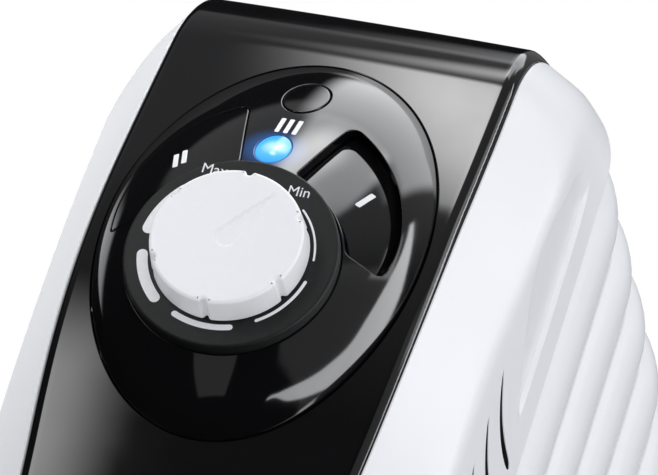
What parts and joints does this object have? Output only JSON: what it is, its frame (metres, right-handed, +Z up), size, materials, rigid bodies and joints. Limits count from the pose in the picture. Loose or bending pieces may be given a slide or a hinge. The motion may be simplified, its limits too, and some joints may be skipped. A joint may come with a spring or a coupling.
{
  "type": "oil filled radiator heater",
  "caption": "Oil filled radiator heater on castors with steel fins, a gloss control housing, a thermostat knob and two push buttons.",
  "frame": {"origin": "centre of the footprint at floor level", "axes": "+Z up, control face towards -Y, fins stacked along +Y, X across"},
  "size_m": [0.258, 0.4402, 0.685],
  "materials": {
    "shell_white": "high gloss moulded plastic",
    "panel_black": "piano black gloss",
    "dial_black": "fine matte",
    "knob_white": "satin",
    "lens_blue": "frosted, lit",
    "fin_white": "gloss powder coat",
    "zinc_steel": "zinc plated",
    "element_steel": "heat tinted",
    "plug_brass": "turned",
    "foot_grey": "textured",
    "wheel_black": "matte",
    "inner_grey": "plain moulded",
    "inner_white": "plain moulded"
  },
  "bodies": {
    "heater": {"housing_left": "shell_white", "housing_right": "shell_white", "fascia": "panel_black", "control_pod": "panel_black", "dial_plate": "dial_black", "thermostat_body": "inner_grey", "power_switch_1": "inner_grey", "power_switch_2": "inner_grey", "pilot_lens": "lens_blue", "pilot_lamp": "inner_grey", "blank_cap": "panel_black", "control_bracket": "zinc_steel", "heat_shield": "zinc_steel", "base_cover": "shell_white", "cord_gland": "foot_grey", "terminal_block": "inner_white", "thermal_cutout": "zinc_steel", "stand_offs": "zinc_steel", "fin_1": "fin_white", "fin_2": "fin_white", "fin_3": "fin_white", "fin_4": "fin_white", "fin_5": "fin_white", "fin_6": "fin_white", "fin_7": "fin_white", "fin_8": "fin_white", "heating_element_1": "element_steel", "heating_element_2": "element_steel", "element_flange": "zinc_steel", "flange_bolts": "zinc_steel", "top_header_plug": "plug_brass", "lower_header_plug": "plug_brass", "oil_filler_plug": "plug_brass", "rear_cover": "shell_white", "carry_handle": "foot_grey", "handle_screws": "zinc_steel", "foot_bar_front": "foot_grey", "foot_bar_rear": "foot_grey", "u_bolt_front": "zinc_steel", "u_bolt_rear": "zinc_steel", "wing_nuts": "zinc_steel"},
    "knob": {"knob": "knob_white", "thermostat_shaft": "zinc_steel"},
    "button_1": {"push_button_1": "panel_black"},
    "button_2": {"push_button_2": "panel_black"},
    "castor_1": {"castor_fork_1": "foot_grey", "castor_axle_1": "zinc_steel"},
    "wheel_1": {"castor_wheel_1": "wheel_black"},
    "castor_2": {"castor_fork_2": "foot_grey", "castor_axle_2": "zinc_steel"},
    "wheel_2": {"castor_wheel_2": "wheel_black"},
    "castor_3": {"castor_fork_3": "foot_grey", "castor_axle_3": "zinc_steel"},
    "wheel_3": {"castor_wheel_3": "wheel_black"},
    "castor_4": {"castor_fork_4": "foot_grey", "castor_axle_4": "zinc_steel"},
    "wheel_4": {"castor_wheel_4": "wheel_black"}
  },
  "joints": [
    {"name": "knob_turn", "type": "hinge", "parent": "heater", "child": "knob", "pos_m": [0, -0.2096, 0.491], "axis": [0, 1, 0], "range_deg": [0, 300]},
    {"name": "button_1_push", "type": "slide", "parent": "heater", "child": "button_1", "axis": [0, 1, 0], "range_m": [-0.005, 0]},
    {"name": "button_2_push", "type": "slide", "parent": "heater", "child": "button_2", "axis": [0, 1, 0], "range_m": [0, 0.005]},
    {"name": "castor_1_swivel", "type": "hinge", "parent": "heater", "child": "castor_1", "pos_m": [0.112, -0.0502, 0.046], "axis": [0, 0, 1], "continuous": true},
    {"name": "wheel_1_roll", "type": "hinge", "parent": "castor_1", "child": "wheel_1", "pos_m": [0.112, -0.0362, 0.02], "axis": [1, 0, 0], "continuous": true},
    {"name": "castor_2_swivel", "type": "hinge", "parent": "heater", "child": "castor_2", "pos_m": [-0.112, -0.0502, 0.046], "axis": [0, 0, 1], "continuous": true},
    {"name": "wheel_2_roll", "type": "hinge", "parent": "castor_2", "child": "wheel_2", "pos_m": [-0.112, -0.0362, 0.02], "axis": [1, 0, 0], "continuous": true},
    {"name": "castor_3_swivel", "type": "hinge", "parent": "heater", "child": "castor_3", "pos_m": [0.112, 0.1658, 0.046], "axis": [0, 0, 1], "continuous": true},
    {"name": "wheel_3_roll", "type": "hinge", "parent": "castor_3", "child": "wheel_3", "pos_m": [0.112, 0.1798, 0.02], "axis": [1, 0, 0], "continuous": true},
    {"name": "castor_4_swivel", "type": "hinge", "parent": "heater", "child": "castor_4", "pos_m": [-0.112, 0.1658, 0.046], "axis": [0, 0, 1], "continuous": true},
    {"name": "wheel_4_roll", "type": "hinge", "parent": "castor_4", "child": "wheel_4", "pos_m": [-0.112, 0.1798, 0.02], "axis": [1, 0, 0], "continuous": true}
  ]
}
